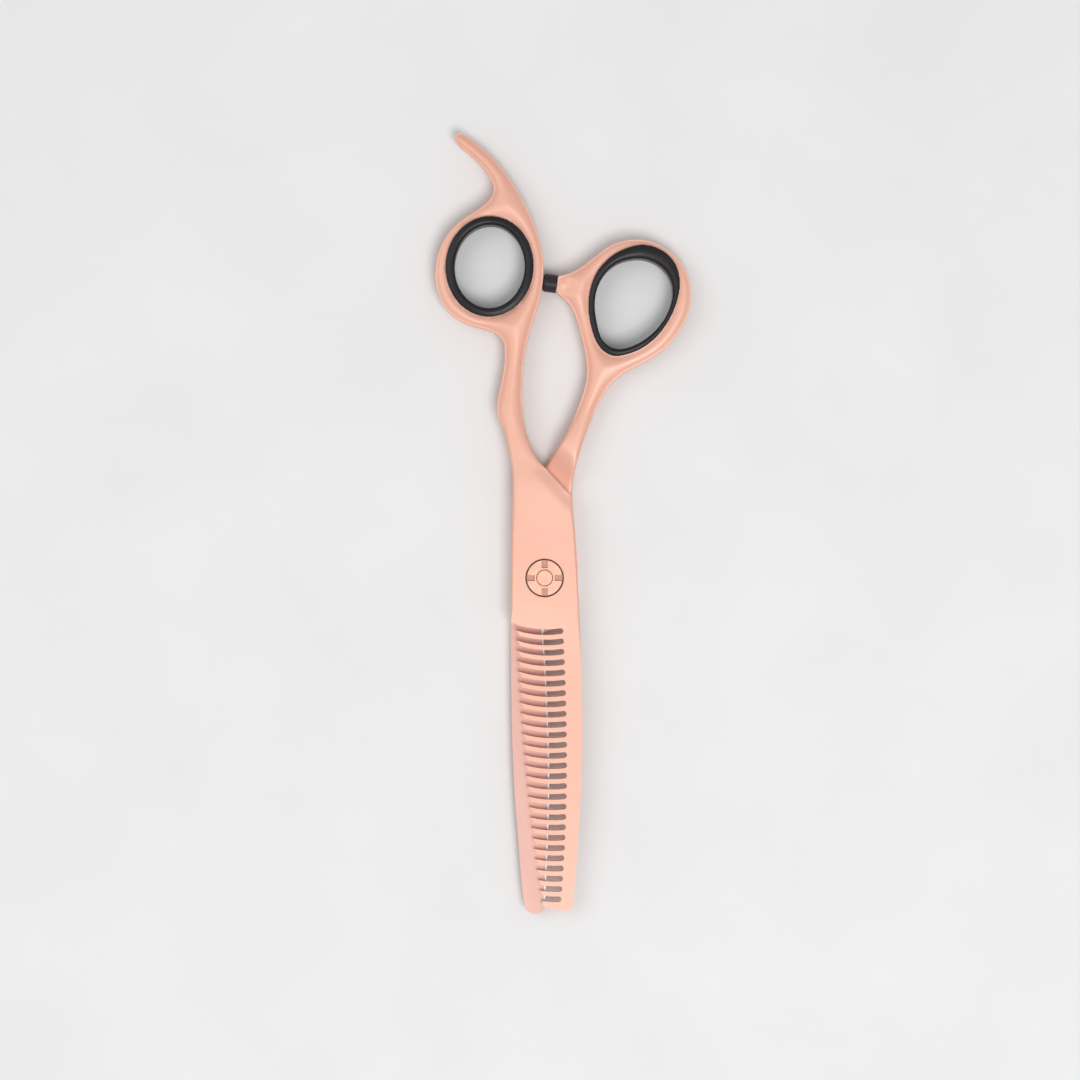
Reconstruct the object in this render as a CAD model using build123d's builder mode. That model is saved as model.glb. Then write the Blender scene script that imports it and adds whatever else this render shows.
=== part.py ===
"""Thinning shears: an offset pair with a fixed finger rest and a flat ball-bearing pivot.

Millimetres. The pivot axis is Z, and Z = 0 is the plane that the shears rest on. The blade tips
point to -Y and the handles to +Y; the thumb ring is on the +X side and the finger ring on -X.
The finger half carries the comb blade and lies on top; the thumb half carries the plain cutting
blade below it. The ricassos, the flat stretches round the pivot, slide on each other.
"""

import os
from math import asin, cos, degrees, radians, sin, sqrt

from build123d import *

# ---- overall ------------------------------------------------------------------------------
HALF_T = 3.3  # thickness of each half at the pivot
RIDE_GAP = 0.1  # gap between the two inner faces, kept by the ride washer
TIP_T = 1.6  # thickness of each blade at its tip
HANDLE_T = 6.0  # thickness of rings and shanks
INNER_LOW = HALF_T  # inner face of the thumb half
INNER_HIGH = HALF_T + RIDE_GAP  # inner face of the finger half
STACK_T = 2 * HALF_T + RIDE_GAP
HANDLE_LOW = (STACK_T - HANDLE_T) / 2
HANDLE_HIGH = HANDLE_LOW + HANDLE_T
EDGE_R = 0.9  # rounding along the handle's outer edges
BLADE_EDGE_R = 0.5  # rounding along the comb blade's long outer edges
HOLE_EDGE_R = 0.3  # rounding round the finger ring's hole
RAMP_LENGTH = 7.0  # run of the ramp from a half's inner face up to full handle thickness
RAMP_START = 0.2  # gap between that ramp's foot and the other half's edge
REST_TIP_T = 3.4  # thickness at the end of the finger rest

# ---- where the two halves cross -----------------------------------------------------------
CROTCH = (0.06, 23.82)
CROSS_RIGHT = (6.0, 17.45)
CROSS_LEFT = (-6.93, 17.5)

# ---- comb blade ---------------------------------------------------------------------------
SLOT_COUNT = 27
SLOT_PITCH = 2.235
SLOT_W = 1.24
SLOT_FIRST_Y = -11.49
SLOT_ARC_R = 20.0  # each slot is an arc that curls towards the pivot at the tooth tips

# ---- pivot --------------------------------------------------------------------------------
HEAD_R = 4.0
HEAD_T = 1.0
HEAD_SEAT_R = 4.1
SQUARE = 5.2  # square neck that locks the bolt in the thumb half
SQUARE_HOLE = 5.24
JOURNAL_R = 2.5
THREAD_R = 1.8
WASHER_R = 5.0
WASHER_SEAT_R = 5.1
WASHER_SEAT_T = 0.2
BUSH_R = 3.2
BUSH_BORE_R = 2.53
SEAT_R = 4.15  # counterbore that the bearing and the nut sit in
SEAT_FLOOR_Z = 4.4
RACE_T = 0.2
BALL_R = 0.4
BALL_COUNT = 8
BALL_PITCH_R = 3.25
NUT_R = 3.95
NUT_LOW_Z = 5.85
NUT_T = 1.1
NUT_BORE_R = 1.83
NUT_SLOT_W = 1.3
NUT_SLOT_T = 0.6
NUT_SLOT_START_R = 2.15

# ---- rings --------------------------------------------------------------------------------
FINGER_CENTRE = (-11.9, 67.35)
FINGER_HOLE = (9.3, 10.65)
FINGER_LIP = (9.7, 11.05)
FINGER_OPENING = (7.6, 9.0)
FINGER_TILT = -3.0
THUMB_CENTRE = (19.4, 60.1)
THUMB_HALF_W = 10.0
THUMB_HALF_L = 12.1
LIP_OVERHANG = 0.35  # how far the thumb insert's lips reach over the metal
THUMB_EGG = (
    (17.0, 71.2), (13.4, 68.9), (10.9, 65.7), (9.6, 61.9), (9.35, 57.8), (10.1, 53.6), (11.8, 49.8),
    (14.4, 47.95), (17.9, 48.2), (21.7, 49.9), (25.0, 52.8), (27.4, 56.4), (28.9, 60.2),
    (29.4, 64.0), (28.4, 68.0), (25.4, 71.0), (21.2, 72.2),
)
THUMB_OPENING = (
    (17.8, 68.8), (15.0, 67.6), (12.6, 65.2), (11.2, 62.0), (10.85, 58.4), (11.4, 54.6),
    (12.7, 51.2), (15.2, 49.6), (18.6, 50.0), (22.0, 51.8), (25.0, 54.7), (27.0, 58.2),
    (27.75, 61.9), (26.9, 65.2), (24.3, 67.9), (20.6, 69.1),
)
INSERT_EDGE_R = 0.5

# ---- bumper -------------------------------------------------------------------------------
BUMPER_R = 2.0
BUMPER_REACH = 3.03
BUMPER_PLUG_R = 1.1
BUMPER_PLUG_L = 2.4
BUMPER_SEAT = (2.65, 63.7)
BUMPER_ANGLE = 172.0


def slot_y(index):
    """Y of the closed end of slot number index."""
    return SLOT_FIRST_Y - index * SLOT_PITCH


def slot_end_x(index):
    """X of the closed end; the row bows gently away from the spine."""
    middle = (SLOT_COUNT - 1) / 2
    return 4.85 - (1.2 if index > middle else 0.8) * ((index - middle) / middle) ** 2


def slot_low_x(index):
    """X of the lowest point on the arc, which drifts to the spine along the blade."""
    return 0.25 + 2.0 * (index / (SLOT_COUNT - 1)) ** 0.75


def slot_centre(index):
    """Centre of the arc along the middle of the slot."""
    low_x = slot_low_x(index)
    reach = slot_end_x(index) - SLOT_W / 2 - low_x
    return low_x, slot_y(index) + sqrt(SLOT_ARC_R**2 - reach**2)


def tooth_tip_x(y):
    """X of the line that the tooth tips follow."""
    t = (y + 11.0) / -59.0
    return -6.15 + 2.1 * t + 3.35 * t**2


def cross_plane(far):
    """Plane standing on the crossing line to far: its X leads to the handle and its Y is up."""
    along = Vector(far[0] - CROTCH[0], far[1] - CROTCH[1], 0).normalized()
    away = Vector(-along.Y, along.X, 0)
    if away.Y < 0:
        away = away * -1
    return Plane(origin=(*CROTCH, 0), x_dir=away, z_dir=away.cross(Vector(0, 0, 1)))


def thumb_egg(inset):
    """Closed outline of the thumb insert's lip, drawn in by inset all round."""
    centre_x, centre_y = THUMB_CENTRE
    return Spline(
        *[
            (
                centre_x + (x - centre_x) * (1 - inset / THUMB_HALF_W),
                centre_y + (y - centre_y) * (1 - inset / THUMB_HALF_L),
            )
            for x, y in THUMB_EGG
        ],
        periodic=True,
    )


def handle_rim(faces):
    """Outer edges of a shank and ring, where the standing walls meet the front and back."""
    flats = faces.filter_by(lambda f: abs(f.normal_at().Z) > 0.7).edges()
    walls = faces.filter_by(lambda f: abs(f.normal_at().Z) < 0.1).edges()
    return flats.filter_by(lambda e: e in walls and e.bounding_box().max.Y > 24)


bumper_plane = Plane(
    origin=(*BUMPER_SEAT, STACK_T / 2),
    x_dir=(0, 0, 1),
    z_dir=(cos(radians(BUMPER_ANGLE)), sin(radians(BUMPER_ANGLE)), 0),
)

ON_BASE = (Align.CENTER, Align.CENTER, Align.MIN)

os.makedirs("parts", exist_ok=True)

# ---- comb blade with its ricasso --------------------------------------------------------------
with BuildPart() as comb_blade:
    # the outer face falls to the tip, and across the blade to the tooth tips
    for y, low_side, spine_side in (
        (-74.0, 4.3, INNER_HIGH + TIP_T), (-46.0, 4.7, 6.0), (-22.0, 5.3, 6.55),
        (-7.0, STACK_T, STACK_T),
    ):
        with BuildSketch(Plane.XZ.offset(-y)):
            with BuildLine():
                Polyline(
                    (-9.0, INNER_HIGH), (9.0, INNER_HIGH), (9.0, spine_side), (-9.0, low_side),
                    close=True,
                )
            make_face()
    loft()
    with BuildSketch(Plane.YZ.offset(-12)):
        with BuildLine():
            slope = Spline(
                (19.0, STACK_T), (31.0, HANDLE_HIGH - 0.3), tangents=((1.0, 0.0), (1.0, 0.0)),
            )
            Polyline(
                slope @ 1, (31.0, INNER_HIGH), (-7.0, INNER_HIGH), (-7.0, STACK_T), slope @ 0,
            )
        make_face()
    extrude(amount=24)
    with BuildSketch():
        with BuildLine():
            Spline(
                (6.0, -71.2), (6.65, -65.0), (7.3, -55.6), (8.0, -42.0), (8.15, -32.0),
                (7.8, -15.6), (7.1, 0.0), (6.35, 12.0), CROSS_RIGHT,
            )
            Line(CROSS_RIGHT, (0.1, 23.88))
            Spline((0.1, 23.88), (-1.38, 25.5), (-2.48, 27.25), (-3.55, 30.2))
            Line((-3.55, 30.2), (-8.48, 30.0))
            Spline(
                (-8.48, 30.0), (-7.68, 27.0), (-7.16, 24.0), (-6.96, 20.5), (-7.0, 15.0),
                (-7.12, 6.0), (-7.25, -5.0), (-7.3, -9.6),
            )
            Line((-7.3, -9.6), (-6.6, -10.6))
            Spline(
                (-6.6, -10.6), (tooth_tip_x(-20.0), -20.0), (tooth_tip_x(-32.0), -32.0),
                (tooth_tip_x(-44.0), -44.0), (tooth_tip_x(-56.0), -56.0),
                (tooth_tip_x(-66.0), -66.0), (-0.4, -70.9),
            )
            Spline(
                (-0.4, -70.9), (0.6, -71.5), (2.6, -71.9), (4.7, -72.05), (5.6, -71.85),
                (6.0, -71.2),
            )
        make_face()
    extrude(amount=STACK_T + 2, mode=Mode.INTERSECT)
    fillet(
        comb_blade.faces().group_by(Axis.Z)[-1].edges().filter_by(
            lambda e: e.bounding_box().size.Y > 20
        ),
        BLADE_EDGE_R,
    )

# ---- finger half: shank, finger ring and finger rest, with the comb blade -----------------------
with BuildPart() as comb_blade_half:
    with BuildSketch(Plane.XY.offset(HANDLE_LOW)):
        with BuildLine():
            Polyline((-7.05, 8.0), (2.0, 8.0), (2.0, 21.4), CROTCH)
            Spline(
                CROTCH, (-2.55, 27.2), (-4.05, 31.5), (-4.8, 37.5), (-4.75, 43.5),
                (-4.1, 49.5), (-2.75, 54.8), (-1.15, 60.0), (-0.3, 65.0), (-0.35, 69.5),
                (-1.35, 74.0), (-3.0, 78.4), (-5.3, 82.8), (-8.3, 87.4), (-12.5, 92.2),
                (-15.2, 94.35), (-17.5, 96.2), (-18.4, 96.5), (-19.3, 96.1), (-19.6, 95.2),
                (-19.2, 94.3), (-16.6, 92.0), (-13.8, 89.4), (-11.7, 86.5), (-11.0, 84.2),
                (-11.7, 82.2), (-13.9, 80.1), (-17.6, 77.7), (-20.5, 75.0), (-22.6, 71.5),
                (-23.65, 67.0), (-23.4, 62.8), (-21.9, 59.0), (-18.9, 56.0), (-15.0, 54.4),
                (-11.3, 53.3), (-9.2, 51.6), (-8.6, 48.8), (-8.9, 44.9), (-9.7, 40.8),
                (-10.3, 37.6), (-10.2, 35.2), (-9.1, 32.4), (-8.2, 29.6), (-7.6, 27.0),
                (-7.1, 24.0), (-6.9, 20.5), (-6.95, 15.0), (-7.05, 8.0),
            )
        make_face()
    extrude(amount=HANDLE_T)
    # the finger rest thins to its end on both faces
    for side in (1, -1):
        with BuildSketch(Plane.YZ.offset(-40)):
            with BuildLine():
                face = Spline(
                    (79.0, STACK_T / 2 + side * HANDLE_T / 2),
                    (98.0, STACK_T / 2 + side * REST_TIP_T / 2),
                    tangents=((1.0, 0.0), (1.0, -0.06 * side)),
                )
                Polyline(
                    face @ 1, (98.0, STACK_T / 2 + side * 5), (79.0, STACK_T / 2 + side * 5),
                    face @ 0,
                )
            make_face()
        extrude(amount=80, mode=Mode.SUBTRACT)
    fillet(handle_rim(comb_blade_half.faces()), EDGE_R)
    with BuildSketch(Plane.XY.offset(HANDLE_LOW)):
        with Locations(FINGER_CENTRE):
            Ellipse(*FINGER_HOLE, rotation=FINGER_TILT)
    extrude(amount=HANDLE_T, mode=Mode.SUBTRACT)
    fillet(
        comb_blade_half.edges().filter_by(
            lambda e: e.is_closed and abs(e.bounding_box().size.Y - 2 * FINGER_HOLE[1]) < 0.3
        ),
        HOLE_EDGE_R,
    )
    # nothing of this half lies under the other one: a ramp leads down to the full shank
    with BuildSketch(cross_plane(CROSS_LEFT)):
        with BuildLine():
            ramp = Spline(
                (RAMP_START, INNER_HIGH), (RAMP_START + RAMP_LENGTH, HANDLE_LOW - 0.05),
                tangents=((0.6, -1.0), (1.0, -0.1)),
            )
            Polyline(ramp @ 1, (8.0, -1.0), (-90.0, -1.0), (-90.0, INNER_HIGH), ramp @ 0)
        make_face()
    extrude(amount=60, both=True, mode=Mode.SUBTRACT)
    add(comb_blade.part)
    # slots of the comb
    with BuildSketch(Plane.XY.offset(INNER_HIGH - 1)):
        for i in range(SLOT_COUNT):
            low_x = slot_low_x(i)
            end_x = slot_end_x(i) - SLOT_W / 2
            start = 270 - degrees(asin((low_x + 10.0) / SLOT_ARC_R))
            stop = 270 + degrees(asin((end_x - low_x) / SLOT_ARC_R))
            curl = CenterArc(slot_centre(i), SLOT_ARC_R, start, stop - start, mode=Mode.PRIVATE)
            SlotArc(curl, SLOT_W)
    extrude(amount=HALF_T + 2, mode=Mode.SUBTRACT)
    # each tooth ends in a slanting cut
    with BuildSketch(Plane.XY.offset(INNER_HIGH - 1)):
        for i in range(SLOT_COUNT - 1):
            centre_x, centre_y = slot_centre(i)
            tip_x = tooth_tip_x(slot_y(i))
            tip_y = centre_y - sqrt((SLOT_ARC_R + SLOT_W / 2) ** 2 - (tip_x - centre_x) ** 2)
            with BuildLine():
                Polyline(
                    (tip_x - 0.4, tip_y + 0.5), (tip_x, tip_y), (tip_x + 1.2, tip_y - 1.6),
                    (tip_x - 2.0, tip_y - 1.2), close=True,
                )
            make_face()
    extrude(amount=HALF_T + 2, mode=Mode.SUBTRACT)
    # pivot: bush bore and the counterbore for the bearing and the nut
    with Locations((0, 0, STACK_T)):
        Hole(BUSH_R, depth=HALF_T + 1)
        CounterBoreHole(BUSH_R, SEAT_R, STACK_T - SEAT_FLOOR_Z, depth=HALF_T + 1)

# ---- plain cutting blade with its ricasso -------------------------------------------------------
with BuildPart() as cutting_blade:
    # thick along the spine, falling in two facets to the cutting edge
    for y, spine_z, belly_x, belly_z, edge_z in (
        (-74.0, INNER_LOW - TIP_T, -2.6, 2.1, 3.15), (-46.0, 0.7, -2.2, 1.4, 3.1),
        (-24.0, 0.15, -2.4, 0.9, 3.05), (-11.5, 0.0, -2.8, 0.5, 3.0),
    ):
        with BuildSketch(Plane.XZ.offset(-y)):
            with BuildLine():
                Polyline(
                    (-9.0, INNER_LOW), (1.2, INNER_LOW), (1.2, edge_z), (belly_x, belly_z),
                    (-9.0, spine_z), close=True,
                )
            make_face()
    loft()
    with BuildSketch():
        with Locations((0, -11.5)):
            Rectangle(18, 40, align=(Align.CENTER, Align.MIN))
    extrude(amount=INNER_LOW)
    with BuildSketch():
        with BuildLine():
            Spline(
                (0.02, -71.6), (0.3, -66.0), (0.75, -56.0), (1.0, -46.0), (0.9, -36.0),
                (0.5, -26.0), (-0.05, -16.0), (-0.4, -12.0),
            )
            Spline((-0.4, -12.0), (1.8, -10.9), (4.9, -8.6), (6.9, -4.0), (7.15, 0.0))
            Spline(
                (7.15, 0.0), (6.65, 9.0), (6.15, 15.0), (6.03, 18.5), (6.3, 21.8), (7.05, 25.08),
                (8.0, 28.28),
            )
            Line((8.0, 28.28), (2.85, 28.35))
            Spline((2.85, 28.35), (1.5, 26.05), CROTCH)
            Line(CROTCH, CROSS_LEFT)
            Spline(
                CROSS_LEFT, (-7.06, 8.0), (-7.2, -2.0), (-7.3, -12.0), (-7.3, -18.0), (-7.2, -28.0),
                (-6.85, -40.4), (-6.35, -49.3), (-5.55, -59.2), (-4.8, -67.9), (-4.3, -71.3),
            )
            Spline(
                (-4.3, -71.3), (-3.7, -72.3), (-2.5, -72.85), (-0.9, -72.6), (-0.1, -72.2),
                (0.02, -71.6),
            )
        make_face()
    extrude(amount=INNER_LOW, mode=Mode.INTERSECT)

# ---- thumb half: shank and thumb ring, with the cutting blade -----------------------------------
with BuildPart() as cutting_blade_half:
    with BuildSketch(Plane.XY.offset(HANDLE_LOW)):
        with BuildLine():
            Polyline((0.15, 23.95), (-1.5, 22.3), (-1.5, 10.0), (6.4, 10.0))
            Spline(
                (6.4, 10.0), (6.05, 15.0), (5.95, 18.5), (6.22, 21.8), (6.98, 25.1),
                (7.92, 28.3), (9.2, 31.8), (10.7, 35.6), (12.4, 39.2), (14.6, 42.3),
                (17.6, 44.6), (21.4, 46.6), (25.0, 48.8), (27.6, 51.2), (29.6, 54.0),
                (31.06, 57.0), (31.7, 60.44), (31.4, 64.0), (30.0, 67.5), (27.7, 70.2),
                (24.9, 72.1), (21.45, 73.2), (18.0, 73.15), (15.0, 72.3), (12.2, 70.6),
                (9.78, 68.64), (7.62, 67.05), (5.46, 65.95), (2.9, 65.35),
            )
            Line((2.9, 65.35), (2.45, 61.9))
            Spline(
                (2.45, 61.9), (4.2, 60.4), (5.6, 58.9), (6.7, 56.6), (7.6, 53.6), (8.4, 50.4),
                (9.0, 47.4), (9.15, 43.8), (8.4, 40.2), (7.0, 36.3), (5.4, 32.8), (3.6, 29.5),
                (1.72, 26.3), (0.15, 23.95),
            )
        make_face()
    extrude(amount=HANDLE_T)
    fillet(handle_rim(cutting_blade_half.faces()), EDGE_R)
    with BuildSketch(Plane.XY.offset(HANDLE_LOW)):
        with BuildLine():
            thumb_egg(LIP_OVERHANG)
        make_face()
    extrude(amount=HANDLE_T, mode=Mode.SUBTRACT)
    # nothing of this half stands above its inner face where the other one crosses it
    with BuildSketch(cross_plane(CROSS_RIGHT)):
        with BuildLine():
            ramp = Spline(
                (RAMP_START, INNER_LOW), (RAMP_START + RAMP_LENGTH, HANDLE_HIGH + 0.05),
                tangents=((1.0, 0.1), (1.0, 0.1)),
            )
            Polyline(ramp @ 1, (8.0, 9.0), (-90.0, 9.0), (-90.0, INNER_LOW), ramp @ 0)
        make_face()
    extrude(amount=60, both=True, mode=Mode.SUBTRACT)
    add(cutting_blade.part)
    # bumper seat in the end of the horn
    with BuildSketch(bumper_plane):
        Circle(BUMPER_PLUG_R)
    extrude(amount=-BUMPER_PLUG_L, mode=Mode.SUBTRACT)
    # pivot: head counterbore in the back, square hole, and a shallow seat for the ride washer
    with BuildSketch():
        Circle(HEAD_SEAT_R)
    extrude(amount=HEAD_T + 0.02, mode=Mode.SUBTRACT)
    with BuildSketch():
        Rectangle(SQUARE_HOLE, SQUARE_HOLE)
    extrude(amount=INNER_LOW, mode=Mode.SUBTRACT)
    with BuildSketch(Plane.XY.offset(INNER_LOW - WASHER_SEAT_T)):
        Circle(WASHER_SEAT_R)
    extrude(amount=WASHER_SEAT_T + 0.2, mode=Mode.SUBTRACT)

# ---- ring inserts -------------------------------------------------------------------------------
with BuildPart() as finger_ring_insert:
    with BuildSketch():
        with Locations(FINGER_CENTRE):
            Ellipse(*FINGER_LIP, rotation=FINGER_TILT)
            Ellipse(*FINGER_OPENING, rotation=FINGER_TILT, mode=Mode.SUBTRACT)
    extrude(amount=STACK_T)
    fillet(finger_ring_insert.edges().filter_by(lambda e: e.is_closed), INSERT_EDGE_R)
    with BuildSketch(Plane.XY.offset(HANDLE_LOW)):
        with Locations(FINGER_CENTRE):
            Ellipse(FINGER_LIP[0] + 1, FINGER_LIP[1] + 1, rotation=FINGER_TILT)
            Ellipse(*FINGER_HOLE, rotation=FINGER_TILT, mode=Mode.SUBTRACT)
    extrude(amount=HANDLE_T, mode=Mode.SUBTRACT)

with BuildPart() as thumb_ring_insert:
    with BuildSketch():
        with BuildLine():
            thumb_egg(0)
        make_face()
        with BuildLine():
            Spline(*THUMB_OPENING, periodic=True)
        make_face(mode=Mode.SUBTRACT)
    extrude(amount=STACK_T)
    fillet(thumb_ring_insert.edges().filter_by(lambda e: e.is_closed), INSERT_EDGE_R)
    with BuildSketch(Plane.XY.offset(HANDLE_LOW)):
        with Locations(THUMB_CENTRE):
            Rectangle(30, 34)
        with BuildLine():
            thumb_egg(LIP_OVERHANG)
        make_face(mode=Mode.SUBTRACT)
    extrude(amount=HANDLE_T, mode=Mode.SUBTRACT)

# ---- bumper -------------------------------------------------------------------------------------
with BuildPart() as bumper:
    with BuildSketch(bumper_plane):
        Circle(BUMPER_R)
    extrude(amount=BUMPER_REACH)
    fillet(bumper.edges().sort_by(Axis.X)[0], 0.7)
    with BuildSketch(bumper_plane):
        Circle(BUMPER_PLUG_R)
    extrude(amount=-BUMPER_PLUG_L + 0.2)

# ---- pivot --------------------------------------------------------------------------------------
with BuildPart() as pivot_bolt:
    Cylinder(HEAD_R, HEAD_T, align=ON_BASE)
    chamfer(pivot_bolt.edges().group_by(Axis.Z)[0], 0.2)
    with BuildSketch(Plane.XY.offset(HEAD_T)):
        Rectangle(SQUARE, SQUARE)
    extrude(amount=INNER_LOW - WASHER_SEAT_T - HEAD_T - 0.05)
    with BuildSketch(Plane.XY.offset(HEAD_T)):
        Circle(JOURNAL_R)
    extrude(amount=NUT_LOW_Z - 0.25 - HEAD_T)
    with BuildSketch(Plane.XY.offset(HEAD_T)):
        Circle(THREAD_R)
    extrude(amount=NUT_LOW_Z + NUT_T - 0.05 - HEAD_T)
    chamfer(pivot_bolt.edges().group_by(Axis.Z)[-1], 0.2)

with BuildPart() as ride_washer:
    with Locations((0, 0, INNER_LOW - WASHER_SEAT_T + 0.01)):
        Cylinder(WASHER_R, WASHER_SEAT_T + RIDE_GAP - 0.02, align=ON_BASE)
        Cylinder(JOURNAL_R + 0.1, 1, align=ON_BASE, mode=Mode.SUBTRACT)

with BuildPart() as pivot_bush:
    with Locations((0, 0, INNER_HIGH + 0.02)):
        Cylinder(BUSH_R, SEAT_FLOOR_Z - INNER_HIGH - 0.02, align=ON_BASE)
        Cylinder(BUSH_BORE_R, 2, align=ON_BASE, mode=Mode.SUBTRACT)

races = {}
for race_name, race_z, outer_r in (
    ("lower_race", SEAT_FLOOR_Z, SEAT_R),
    ("upper_race", SEAT_FLOOR_Z + RACE_T + 2 * BALL_R, SEAT_R - 0.1),
):
    with BuildPart() as race:
        with Locations((0, 0, race_z)):
            Cylinder(outer_r, RACE_T, align=ON_BASE)
            Cylinder(JOURNAL_R + 0.05, RACE_T, align=ON_BASE, mode=Mode.SUBTRACT)
    races[race_name] = race.part

with BuildPart() as ball_cage:
    with Locations((0, 0, SEAT_FLOOR_Z + RACE_T + 0.2)):
        Cylinder(SEAT_R - 0.2, 2 * BALL_R - 0.4, align=ON_BASE)
        Cylinder(JOURNAL_R + 0.08, 1, align=ON_BASE, mode=Mode.SUBTRACT)
        with PolarLocations(BALL_PITCH_R, BALL_COUNT):
            Cylinder(BALL_R + 0.03, 1, align=ON_BASE, mode=Mode.SUBTRACT)

bearing_balls = []
for spot in PolarLocations(BALL_PITCH_R, BALL_COUNT).locations:
    with BuildPart() as bearing_ball:
        with Locations((spot.position.X, spot.position.Y, SEAT_FLOOR_Z + RACE_T + BALL_R)):
            Sphere(BALL_R)
    bearing_balls.append(bearing_ball.part)

with BuildPart() as wave_washer:
    with Locations((0, 0, NUT_LOW_Z - 0.25)):
        Cylinder(SEAT_R - 0.35, 0.25, align=ON_BASE)
        Cylinder(JOURNAL_R - 0.4, 0.25, align=ON_BASE, mode=Mode.SUBTRACT)

with BuildPart() as tension_nut:
    with Locations((0, 0, NUT_LOW_Z)):
        Cylinder(NUT_R, NUT_T, align=ON_BASE)
    chamfer(tension_nut.edges().group_by(Axis.Z)[-1], 0.15)
    with Locations((0, 0, NUT_LOW_Z)):
        Cylinder(NUT_BORE_R, NUT_T, align=ON_BASE, mode=Mode.SUBTRACT)
    with BuildSketch(Plane.XY.offset(NUT_LOW_Z + NUT_T)):
        with PolarLocations(NUT_SLOT_START_R, 4):
            Rectangle(3, NUT_SLOT_W, align=(Align.MIN, Align.CENTER))
    extrude(amount=-NUT_SLOT_T, mode=Mode.SUBTRACT)

# ---- one file per piece -------------------------------------------------------------------------
pieces = {
    "comb_blade_half": comb_blade_half.part,
    "cutting_blade_half": cutting_blade_half.part,
    "finger_ring_insert": finger_ring_insert.part,
    "thumb_ring_insert": thumb_ring_insert.part,
    "bumper": bumper.part,
    "pivot_bolt": pivot_bolt.part,
    "tension_nut": tension_nut.part,
    "wave_washer": wave_washer.part,
    "ball_cage": ball_cage.part,
    "pivot_bush": pivot_bush.part,
    "ride_washer": ride_washer.part,
    **races,
}
for number, ball in enumerate(bearing_balls, start=1):
    pieces[f"bearing_ball_{number}"] = ball
for piece_name, piece in pieces.items():
    piece.label = piece_name
    export_step(piece, f"parts/{piece_name}.step")
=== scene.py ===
"""The thinning shears: satin rose gold halves, black rubber linings and a brushed pivot nut."""

import bmesh
import bpy
import numpy as np
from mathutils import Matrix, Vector
from mathutils.kdtree import KDTree


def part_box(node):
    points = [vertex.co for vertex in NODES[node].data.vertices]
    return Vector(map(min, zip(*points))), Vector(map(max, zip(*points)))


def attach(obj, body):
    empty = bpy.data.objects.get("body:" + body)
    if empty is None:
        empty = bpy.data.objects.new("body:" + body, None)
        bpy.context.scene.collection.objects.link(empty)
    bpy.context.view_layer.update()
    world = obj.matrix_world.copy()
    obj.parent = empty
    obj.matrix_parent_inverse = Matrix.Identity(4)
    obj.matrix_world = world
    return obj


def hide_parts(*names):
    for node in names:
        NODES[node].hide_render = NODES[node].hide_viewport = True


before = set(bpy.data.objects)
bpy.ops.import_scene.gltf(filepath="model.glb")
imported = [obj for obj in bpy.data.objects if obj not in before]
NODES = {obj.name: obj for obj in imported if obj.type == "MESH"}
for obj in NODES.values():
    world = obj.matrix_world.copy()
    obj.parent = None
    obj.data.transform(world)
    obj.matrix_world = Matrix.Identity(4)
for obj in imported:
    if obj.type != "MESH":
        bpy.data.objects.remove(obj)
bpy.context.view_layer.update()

MM = 0.001

# ---- sizes taken from the frame ---------------------------------------------------------------
STACK_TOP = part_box("comb_blade_half")[1].z  # outer face of the comb half at the pivot
NUT_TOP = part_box("tension_nut")[1].z
NUT_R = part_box("tension_nut")[1].x
INNER_Z = 3.18 * MM  # just under the face on which the blades meet

# ---- sculpting --------------------------------------------------------------------------------
SEAM_Y = 10.0 * MM  # where the soft handle meets the crisp blade
SEAM_GAP = 0.15 * MM  # half the strip that bridges them
SEAM_FADE = 5.0 * MM
SEAM_OVERLAP = 3.0 * MM  # how far the handle is remeshed past the seam before it is cut there
MERGE = 2e-6  # points closer than this are one
HANDLE_VOXEL = 0.23 * MM
HANDLE_SMOOTHING = 20
HANDLE_CROWN = 4.2 * MM  # how far the doming reaches in from the outline
HANDLE_DROP = 1.2 * MM  # how far it falls at the outline
FINGER_CROWN_Y = (25 * MM, 38 * MM)  # the doming grows from nothing to full between these
THUMB_CROWN_Y = (27 * MM, 38 * MM)
LINING_VOXEL = 0.17 * MM
LINING_SMOOTHING = 5
LINING_CROWN = 1.3 * MM
LINING_DROP = 0.35 * MM
LINING_CROWN_Y = (0, 1 * MM)  # the linings lie beyond it, so they are domed all round
WALL_FACING = 0.45  # a standing wall's normal has less of Z in it than this
BROAD_FACING = 0.3  # a broad face's normal has at least this much
TOP_FACING = 0.97  # and a flat top's more than this
BLADE_ROOT_Y = -7.0 * MM  # where the outer face starts to fall towards the tip
ROLL_FADE = 4.0 * MM

# the slanting edge of the comb half, where it crosses the other half
CROTCH = Vector((0.06 * MM, 23.82 * MM, 0))
CROSS_END = Vector((6.0 * MM, 17.45 * MM, 0))
BEVEL_W = 2.5 * MM
BEVEL_DEPTH = 0.7 * MM
BEVEL_FADE_Y = (25 * MM, 33 * MM)

# ---- the cutting edge, a shallow arch ---------------------------------------------------------
EDGE_ROOT_Y = -12 * MM
EDGE_TIP_Y = -72 * MM
EDGE_RISE = 5.13 * MM
EDGE_FALL = 4.83 * MM
EDGE_INSET = 0.39 * MM
EDGE_ENDS_Y = (-69 * MM, -70 * MM)  # the honed line fades out between these
HONED_W = 0.22 * MM
HONED_SOFT = 0.08 * MM
HONED_OUT = (0.20 * MM, 0.30 * MM)  # and between these, outside the arch
GREY_W = (0.7 * MM, 1.0 * MM)  # the dull band inside the honed line fades between these
INNER_ENDS_Y = (-10 * MM, -8 * MM)  # the inner face's greyer tone, with painted shade from the comb half above it, gives way to the coat between these
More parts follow.
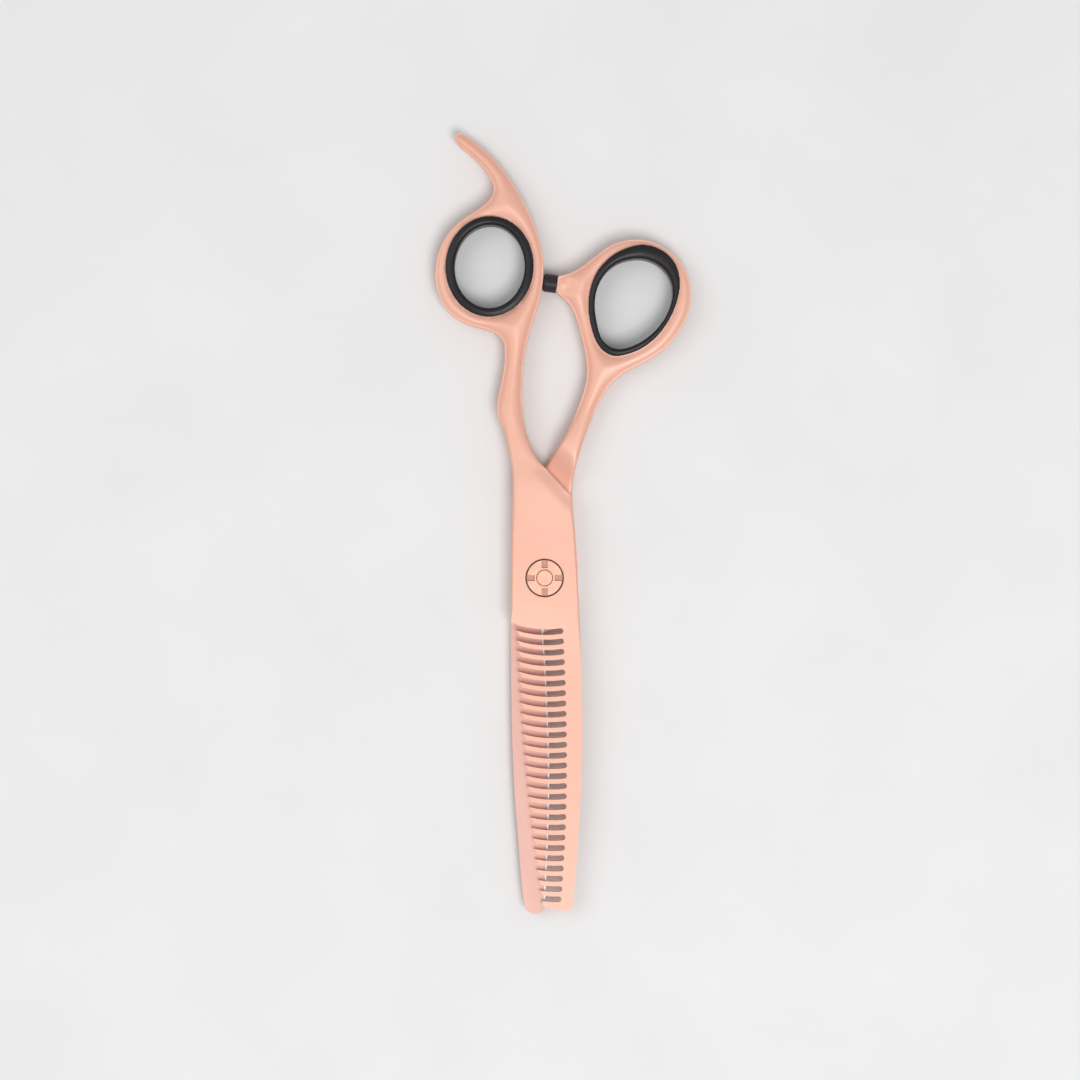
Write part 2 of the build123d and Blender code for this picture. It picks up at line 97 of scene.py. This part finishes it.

# ---- the nut and its seat ---------------------------------------------------------------------
SEAT_R = 4.16 * MM
SEAT_SOFT = 0.03 * MM
SEAT_LIP = (0.02 * MM, 0.06 * MM)  # the painted shade in the nut's seat grows between these depths
NOTCH = (0.15 * MM, 0.45 * MM)  # painted shade in the key notches grows between these depths
RIM_W = (0.06 * MM, 0.16 * MM)  # how far in from the nut's outline its painted rim shade fades

# ---- colours, linear --------------------------------------------------------------------------
COAT = (0.80, 0.42, 0.31)
COAT_LIGHT = (0.83, 0.455, 0.345)
COAT_DEEP = (0.73, 0.33, 0.235)
# the inner face's tone: a greyer tone plus painted shade, standing in for the shadow the comb half
# casts on it
INNER_TONE_AND_SHADE = (0.66, 0.38, 0.32)
# painted shade: near-black for the deep gap round the nut, on the seat and on the washers seen in
# it
GAP_SHADE = (0.055, 0.013, 0.007)
# painted shade: the dark ring where the nut meets its seat, painted on the nut's rim
NUT_RIM_SHADE = (0.12, 0.030, 0.015)
NUT = (0.80, 0.46, 0.345)
# painted shade in the nut's key notches
NUT_NOTCH_SHADE = (0.36, 0.15, 0.10)
STEEL = (0.78, 0.77, 0.76)
# bare honed steel, painted near-white as a painted reflection of the lamp along the cutting edge
HONED_GLINT = (0.92, 0.92, 0.92)
HONED_GREY = (0.50, 0.40, 0.38)
BRASS = (0.78, 0.53, 0.26)
PLASTIC = (0.80, 0.80, 0.77)
RUBBER = (0.012, 0.0105, 0.012)
BUMPER = (0.022, 0.015, 0.021)
FLOOR = (0.74, 0.74, 0.74)
FLOOR_LIGHT = (0.77, 0.77, 0.77)

PEARL_SCALE = 5200.0  # the coat's fine grain


# ---- materials --------------------------------------------------------------------------------
class Finish:
    """A short way to write one material's node tree."""

    def __init__(self, name):
        self.mat = bpy.data.materials.new(name)
        self.mat.use_nodes = True
        self.tree = self.mat.node_tree
        self.tree.nodes.clear()
        self.out = self.add("ShaderNodeOutputMaterial")
        self.place = self.add("ShaderNodeTexCoord").outputs["Object"]
        split = self.add("ShaderNodeSeparateXYZ")
        self.tree.links.new(self.place, split.inputs[0])
        self.x, self.y, self.z = split.outputs

    def add(self, kind, **values):
        node = self.tree.nodes.new(kind)
        for key, value in values.items():
            setattr(node, key, value)
        return node

    def put(self, node, name, value):
        """Sets a socket to a constant, or links another socket to it."""
        if isinstance(value, bpy.types.NodeSocket):
            self.tree.links.new(value, node.inputs[name])
        else:
            node.inputs[name].default_value = value

    def math(self, operation, a, b=0.0):
        """One sum; b is unused by operations that take one value."""
        node = self.add("ShaderNodeMath", operation=operation)
        self.put(node, 0, a)
        self.put(node, 1, b)
        return node.outputs[0]

    def times(self, *factors):
        product = factors[0]
        for factor in factors[1:]:
            product = self.math("MULTIPLY", product, factor)
        return product

    def radius(self):
        """Distance from the pivot axis."""
        square = self.math("ADD", self.times(self.x, self.x), self.times(self.y, self.y))
        return self.math("SQRT", square)

    def noise(self, scale, detail=2.0, rough=0.5, at=None):
        node = self.add("ShaderNodeTexNoise")
        self.put(node, "Vector", at or self.place)
        self.put(node, "Scale", scale)
        self.put(node, "Detail", detail)
        self.put(node, "Roughness", rough)
        return node.outputs["Fac"]

    def ramp(self, value, low, high, out_low=0.0, out_high=1.0):
        node = self.add("ShaderNodeMapRange", clamp=True)
        self.put(node, "Value", value)
        self.put(node, "From Min", low)
        self.put(node, "From Max", high)
        self.put(node, "To Min", out_low)
        self.put(node, "To Max", out_high)
        return node.outputs[0]

    def mix(self, factor, a, b):
        node = self.add("ShaderNodeMix", data_type="RGBA")
        self.put(node, 0, factor)
        self.put(node, 6, (*a, 1.0) if isinstance(a, tuple) else a)
        self.put(node, 7, (*b, 1.0) if isinstance(b, tuple) else b)
        return node.outputs[2]

    def bump(self, height, strength, distance):
        node = self.add("ShaderNodeBump")
        self.put(node, "Height", height)
        self.put(node, "Strength", strength)
        self.put(node, "Distance", distance)
        return node.outputs[0]

    def shader(self, **values):
        node = self.add("ShaderNodeBsdfPrincipled")
        for name, value in values.items():
            self.put(node, name.replace("_", " "), value)
        self.tree.links.new(node.outputs[0], self.out.inputs["Surface"])
        return self.mat


def shade_of(colour, share):
    return tuple(channel * share for channel in colour)


def coat_tone(finish):
    """Rose gold with slow drifts of tone and a very fine pearly grain."""
    drift = finish.ramp(finish.noise(48.0, 3.0), 0.35, 0.68)
    grain = finish.ramp(finish.noise(PEARL_SCALE, 2.0, 0.6), 0.60, 0.86, 0.0, 0.14)
    return finish.mix(grain, finish.mix(drift, COAT, COAT_LIGHT), COAT_DEEP)


def coat_shader(finish, tone, gloss=1.0):
    """Satin coat over steel: soft sheen, hardly any mirror. Gloss 0 leaves it dull."""
    fine = finish.noise(PEARL_SCALE, 2.0, 0.6)
    return finish.shader(
        Base_Color=tone,
        Metallic=0.2,
        Roughness=finish.ramp(finish.noise(160.0, 3.0), 0.3, 0.7, 0.42, 0.50),
        Specular_IOR_Level=finish.times(0.5, gloss),
        Coat_Weight=finish.times(0.25, gloss),
        Coat_Roughness=0.4,
        Normal=finish.bump(fine, 0.08, 0.00004),
    )


def comb_coat():
    """The comb half's coat, painted dark and dull in the nut's seat as painted shade."""
    finish = Finish("comb_coat")
    # painted shade: the seat's faces are darkened almost to black and made dull where the gap round
    # the nut lies in shadow
    seat_shade = finish.times(
        finish.ramp(finish.radius(), SEAT_R + SEAT_SOFT, SEAT_R),
        finish.ramp(finish.z, STACK_TOP - SEAT_LIP[0], STACK_TOP - SEAT_LIP[1]),
    )
    tone = finish.mix(seat_shade, coat_tone(finish), GAP_SHADE)
    return coat_shader(finish, tone, finish.math("SUBTRACT", 1.0, seat_shade))


def cutting_coat():
    """The cutting half's coat, with the honed line along its cutting edge painted near-white as a
    painted reflection on bare steel, and painted shade on the inner face.
    """
    finish = Finish("cutting_coat")
    along = finish.ramp(finish.y, EDGE_ROOT_Y, EDGE_TIP_Y)
    slope = finish.math("SUBTRACT", EDGE_RISE, finish.times(along, EDGE_FALL))
    edge_x = finish.math("SUBTRACT", finish.times(slope, along), EDGE_INSET)
    inward = finish.math("SUBTRACT", edge_x, finish.x)
    on_inner = finish.times(
        finish.ramp(finish.z, INNER_Z, INNER_Z + HONED_SOFT),
        finish.ramp(finish.y, INNER_ENDS_Y[1], INNER_ENDS_Y[0]),
    )
    # the honed line: bare steel painted near-white as a painted reflection
    honed_glint = finish.times(
        on_inner,
        finish.ramp(inward, HONED_W + HONED_SOFT, HONED_W),
        finish.ramp(inward, -HONED_OUT[1], -HONED_OUT[0]),
        finish.ramp(finish.y, EDGE_ENDS_Y[1], EDGE_ENDS_Y[0]),
    )
    grey = finish.times(on_inner, finish.ramp(inward, GREY_W[1], GREY_W[0], 0.0, 0.6))
    # painted shade: the inner face under the comb half takes a darker, greyer tone
    tone = finish.mix(on_inner, coat_tone(finish), INNER_TONE_AND_SHADE)
    tone = finish.mix(grey, tone, HONED_GREY)
    return coat_shader(finish, finish.mix(honed_glint, tone, HONED_GLINT))


def rubber(name, base):
    finish = Finish(name)
    cloud = finish.ramp(finish.noise(140.0, 3.0), 0.3, 0.7)
    return finish.shader(
        Base_Color=finish.mix(cloud, base, shade_of(base, 1.5)),
        Roughness=finish.ramp(finish.noise(300.0, 3.0), 0.3, 0.7, 0.30, 0.40),
        Specular_IOR_Level=0.28,
        Normal=finish.bump(finish.noise(2600.0, 3.0, 0.6), 0.12, 0.00005),
    )


def nut_metal():
    """Bare rose metal with fine rings from turning, with painted shade in the key notches and at
    the rim.
    """
    finish = Finish("nut_metal")
    radius = finish.radius()
    outward = finish.add("ShaderNodeCombineXYZ")
    finish.put(outward, 0, radius)
    rings = finish.noise(26000.0, 2.0, 0.6, at=outward.outputs[0])
    cloud = finish.ramp(finish.noise(700.0, 3.0), 0.3, 0.75)
    tone = finish.mix(cloud, NUT, shade_of(NUT, 0.84))
    # painted shade: the key notches darken with depth
    low = finish.ramp(finish.z, NUT_TOP - NOTCH[0], NUT_TOP - NOTCH[1], 0.0, 0.62)
    tone = finish.mix(low, tone, NUT_NOTCH_SHADE)
    # painted shade: the nut's rim is darkened where it meets the seat
    rim_shade = finish.ramp(radius, NUT_R - RIM_W[1], NUT_R - RIM_W[0], 0.0, 0.9)
    return finish.shader(
        Base_Color=finish.mix(rim_shade, tone, NUT_RIM_SHADE),
        Metallic=0.6,
        Roughness=finish.ramp(rings, 0.3, 0.7, 0.26, 0.38),
        Normal=finish.bump(rings, 0.25, 0.00002),
    )


def plain(name, base, metallic, rough_low, rough_high):
    finish = Finish(name)
    cloud = finish.noise(420.0, 3.0)
    return finish.shader(
        Base_Color=finish.mix(finish.ramp(cloud, 0.3, 0.7), base, shade_of(base, 0.88)),
        Metallic=metallic,
        Roughness=finish.ramp(cloud, 0.3, 0.7, rough_low, rough_high),
        Normal=finish.bump(finish.noise(3000.0, 2.0), 0.08, 0.00003),
    )


def floor_finish():
    finish = Finish("pale_floor")
    cloud = finish.ramp(finish.noise(30.0, 3.0), 0.3, 0.7)
    return finish.shader(Base_Color=finish.mix(cloud, FLOOR, FLOOR_LIGHT), Roughness=0.7)


def dress(piece, material):
    piece.data.materials.clear()
    piece.data.materials.append(material)


# ---- sculpting --------------------------------------------------------------------------------
def smoothstep(value, low, high):
    t = min(max((value - low) / (high - low), 0.0), 1.0)
    return t * t * (3 - 2 * t)


def merged_copy(node):
    """The node's mesh as one closed surface."""
    bm = bmesh.new()
    bm.from_mesh(NODES[node].data)
    bmesh.ops.remove_doubles(bm, verts=bm.verts, dist=MERGE)
    bmesh.ops.dissolve_degenerate(bm, edges=bm.edges, dist=MERGE)
    return bm


def cut_at(bm, y, keep_above):
    """Cuts the mesh across at y and keeps one side, left open."""
    geometry = bm.verts[:] + bm.edges[:] + bm.faces[:]
    bmesh.ops.bisect_plane(
        bm,
        geom=geometry,
        dist=1e-7,
        plane_co=(0, y, 0),
        plane_no=(0, 1, 0),
        clear_inner=keep_above,
        clear_outer=not keep_above,
    )


def to_object(bm, name):
    mesh = bpy.data.meshes.new(name)
    bm.to_mesh(mesh)
    bm.free()
    piece = bpy.data.objects.new(name, mesh)
    bpy.context.scene.collection.objects.link(piece)
    return piece


def remeshed(bm, voxel):
    """Evenly spaced quads over the same closed surface."""
    rough = to_object(bm, "rough")
    modifier = rough.modifiers.new("even", "REMESH")
    modifier.mode = "VOXEL"
    modifier.voxel_size = voxel
    evaluated = rough.evaluated_get(bpy.context.evaluated_depsgraph_get())
    even = bpy.data.meshes.new_from_object(evaluated)
    fine = bmesh.new()
    fine.from_mesh(even)
    fine.normal_update()
    bpy.data.objects.remove(rough)
    bpy.data.meshes.remove(even)
    return fine


def smooth(bm, passes):
    axes = {"use_axis_x": True, "use_axis_y": True, "use_axis_z": True}
    for _ in range(passes):
        bmesh.ops.smooth_vert(bm, verts=bm.verts, factor=0.5, **axes)


def soften(bm, passes):
    """Rounds everything beyond the seam; near the seam the shape stays as it was."""
    before = [v.co.copy() for v in bm.verts]
    smooth(bm, passes)
    for vert, old in zip(bm.verts, before):
        vert.co = old.lerp(vert.co, smoothstep(old.y, SEAM_Y, SEAM_Y + SEAM_FADE))


def outline_tree(bm):
    """The points of the standing walls, laid flat, to tell how far a point is from the outline."""
    walls = [v.co for v in bm.verts if abs(v.normal.z) < WALL_FACING and v.co.y > SEAM_Y]
    tree = KDTree(len(walls))
    for i, co in enumerate(walls):
        tree.insert((co.x, co.y, 0), i)
    tree.balance()
    return tree


def crown(bm, reach, height, starts, ends):
    """Lets the broad faces fall away towards the outline, so that shanks and rings are domed."""
    tree = outline_tree(bm)
    middle = STACK_TOP / 2
    for vert in bm.verts:
        co = vert.co
        share = smoothstep(co.y, starts, ends)
        if share == 0.0 or abs(vert.normal.z) < BROAD_FACING:
            continue
        gap = tree.find((co.x, co.y, 0))[2]
        if gap < reach:
            drop = height * share * (1 - gap / reach) ** 2
            co.z += -drop if co.z > middle else drop


def distance_to_segment(point, a, b):
    along = b - a
    t = min(max((point - a).dot(along) / along.length_squared, 0.0), 1.0)
    return (point - a - along * t).length


def bevel_crossing(bm, width, depth):
    """The broad soft bevel along the comb half's slanting edge, where it crosses the other half."""
    for vert in bm.verts:
        co = vert.co
        if vert.normal.z < BROAD_FACING:
            continue
        gap = distance_to_segment(Vector((co.x, co.y, 0)), CROTCH, CROSS_END)
        fade = 1 - smoothstep(co.y, *BEVEL_FADE_Y)
        if gap < width:
            co.z -= depth * fade * (1 - gap / width)


def bridge_seam(bm):
    """Joins the two open rims on either side of the seam."""
    rims = [
        e
        for e in bm.edges
        if e.is_boundary and abs(e.verts[0].co.y - SEAM_Y) < 3 * SEAM_GAP
    ]
    bmesh.ops.bridge_loops(bm, edges=rims)


def rolled_face(mesh):
    """The slopes of one smooth surface fitted to the flat facets of a blade's rolled outer face."""
    points = [
        mesh.vertices[index].co
        for face in mesh.polygons
        if face.normal.z > TOP_FACING and face.center.y < BLADE_ROOT_Y
        for index in face.vertices
    ]
    x, y, z = np.array(points).T / MM
    powers = [(i, j) for i in (0, 1) for j in (0, 1, 2, 3)]
    terms = np.stack([x**i * y**j for i, j in powers], axis=1)
    weights = np.linalg.lstsq(terms, z, rcond=None)[0]

    def direction(co):
        x, y = co.x / MM, co.y / MM
        across = sum(w * i * y**j for w, (i, j) in zip(weights, powers))
        along = sum(w * x**i * j * y ** (j - 1) for w, (i, j) in zip(weights, powers) if j)
        share = 1 - smoothstep(co.y, BLADE_ROOT_Y - ROLL_FADE, BLADE_ROOT_Y + ROLL_FADE)
        return Vector((-across * share, -along * share, 1)).normalized()

    return direction


def shade_half(piece):
    """Smooth handle; on the crisp blade, flat facets and one smooth outer face."""
    mesh = piece.data
    mesh.shade_smooth()
    direction = rolled_face(mesh)
    normals = []
    for face in mesh.polygons:
        for index in face.vertices:
            if face.center.y > SEAM_Y:
                normals.append(mesh.vertices[index].normal.copy())
            elif face.normal.z > TOP_FACING:
                normals.append(direction(mesh.vertices[index].co))
            else:
                normals.append(face.normal.copy())
    mesh.normals_split_custom_set(normals)


# ---- the halves and the linings ---------------------------------------------------------------
def shape_finger_handle(bm):
    bevel_crossing(bm, BEVEL_W, BEVEL_DEPTH)
    crown(bm, HANDLE_CROWN, HANDLE_DROP, *FINGER_CROWN_Y)


def shape_thumb_handle(bm):
    crown(bm, HANDLE_CROWN, HANDLE_DROP, *THUMB_CROWN_Y)


def forged_half(node, body, material, shape_handle):
    """A half with its blade kept crisp and its handle sculpted soft, in one closed piece."""
    blade = merged_copy(node)
    cut_at(blade, SEAM_Y - SEAM_GAP, keep_above=False)
    crisp = bpy.data.meshes.new("crisp")
    blade.to_mesh(crisp)
    blade.free()

    handle = merged_copy(node)
    cut_at(handle, SEAM_Y - SEAM_OVERLAP, keep_above=True)
    bmesh.ops.holes_fill(handle, edges=[e for e in handle.edges if e.is_boundary])
    handle = remeshed(handle, HANDLE_VOXEL)
    shape_handle(handle)
    soften(handle, HANDLE_SMOOTHING)
    cut_at(handle, SEAM_Y + SEAM_GAP, keep_above=True)
    handle.from_mesh(crisp)
    bpy.data.meshes.remove(crisp)
    bridge_seam(handle)
    bmesh.ops.recalc_face_normals(handle, faces=handle.faces)

    piece = to_object(handle, node + "_sculpted")
    shade_half(piece)
    dress(piece, material)
    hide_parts(node)
    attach(piece, body)


def moulded_lining(node, body, material):
    """A ring lining with the soft, domed lips of moulded rubber."""
    lips = remeshed(merged_copy(node), LINING_VOXEL)
    crown(lips, LINING_CROWN, LINING_DROP, *LINING_CROWN_Y)
    smooth(lips, LINING_SMOOTHING)
    piece = to_object(lips, node + "_moulded")
    piece.data.shade_smooth()
    dress(piece, material)
    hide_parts(node)
    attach(piece, body)


steel = plain("steel", STEEL, 1.0, 0.16, 0.26)
plastic = plain("plastic", PLASTIC, 0.0, 0.4, 0.5)
lining = rubber("lining_rubber", RUBBER)
nut = nut_metal()
# painted shade: the race and wave washer are painted almost black for the deep gap round the nut,
# where they show
gap_shade_steel = plain("shaded_steel", GAP_SHADE, 0.0, 0.5, 0.6)

LOOKS = {
    "upper_race": gap_shade_steel,
    "wave_washer": gap_shade_steel,
    "finger_ring_insert": lining,
    "thumb_ring_insert": lining,
    "bumper": rubber("stop_rubber", BUMPER),
    "pivot_bolt": nut,
    "tension_nut": nut,
    "ball_cage": plain("cage_brass", BRASS, 1.0, 0.3, 0.4),
    "pivot_bush": plastic,
    "ride_washer": plastic,
}
for name, node in NODES.items():
    dress(node, LOOKS.get(name, steel))

moulded_lining("finger_ring_insert", "finger_half", lining)
moulded_lining("thumb_ring_insert", "thumb_half", lining)
forged_half("comb_blade_half", "finger_half", comb_coat(), shape_finger_handle)
forged_half("cutting_blade_half", "thumb_half", cutting_coat(), shape_thumb_handle)

# ---- stage ------------------------------------------------------------------------------------
FLOOR_SIZE = 3.0
FLOOR_DROP = 0.02 * MM  # keeps the floor clear of the faces that rest on it
SKY = 0.52

floor_bm = bmesh.new()
bmesh.ops.create_grid(floor_bm, x_segments=1, y_segments=1, size=FLOOR_SIZE)
bmesh.ops.translate(floor_bm, verts=floor_bm.verts, vec=(0, 0, -FLOOR_DROP))
floor = to_object(floor_bm, "floor")
dress(floor, floor_finish())


def area_light(name, spot, size, power):
    """A square soft box at spot, turned towards the pivot."""
    data = bpy.data.lights.new(name, "AREA")
    data.size = size
    data.energy = power
    lamp = bpy.data.objects.new(name, data)
    lamp.location = spot
    lamp.rotation_euler = (-Vector(spot)).to_track_quat("-Z", "Y").to_euler()
    bpy.context.scene.collection.objects.link(lamp)


area_light("key", (0.22, -0.34, 1.0), 0.5, 6.0)
area_light("fill", (-0.6, 0.2, 0.9), 0.7, 2.2)
world = bpy.data.worlds.new("studio")
bpy.context.scene.world = world
world.use_nodes = True
world.node_tree.nodes["Background"].inputs[0].default_value = (1, 1, 1, 1)
world.node_tree.nodes["Background"].inputs[1].default_value = SKY

# ---- camera, straight above -------------------------------------------------------------------
CAMERA_X = -0.001
CAMERA_Y = 0.0082
AWAY = 0.75
SPAN = 0.2333  # width of the view at the comb half's outer face

lens = bpy.data.cameras.new("camera")
lens.sensor_width = 36.0
lens.lens = lens.sensor_width * AWAY / SPAN
lens.clip_start = 0.01
camera = bpy.data.objects.new("camera", lens)
camera.location = (CAMERA_X, CAMERA_Y, AWAY + STACK_TOP)
bpy.context.scene.collection.objects.link(camera)
bpy.context.scene.camera = camera
bpy.context.scene.view_settings.view_transform = "Standard"
